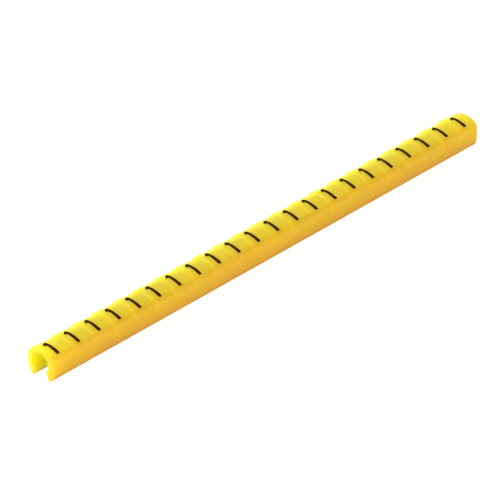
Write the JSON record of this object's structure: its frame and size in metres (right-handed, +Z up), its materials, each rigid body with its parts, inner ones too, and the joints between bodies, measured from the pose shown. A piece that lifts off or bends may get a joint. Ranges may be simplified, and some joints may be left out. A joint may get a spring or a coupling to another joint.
{
  "type": "cable marker strip",
  "caption": "Strip of clip-on cable markers: soft C-shaped sleeves moulded end to end, each with a raised rim on its roof and a slot below that snaps over a wire.",
  "frame": {"origin": "middle of the strip's length and width, at the bottom of the legs", "axes": "+X along the strip, from the rimmed end of each marker to its plain end; +Z up, from the open side to the roof"},
  "size_m": [0.0924, 0.0054, 0.0047],
  "materials": {
    "soft_plastic": "satin soft yellow plastic",
    "print": "flat dark print on the roof of each marker"
  },
  "bodies": {
    "root": {"marker_strip": "soft_plastic"}
  },
  "joints": []
}
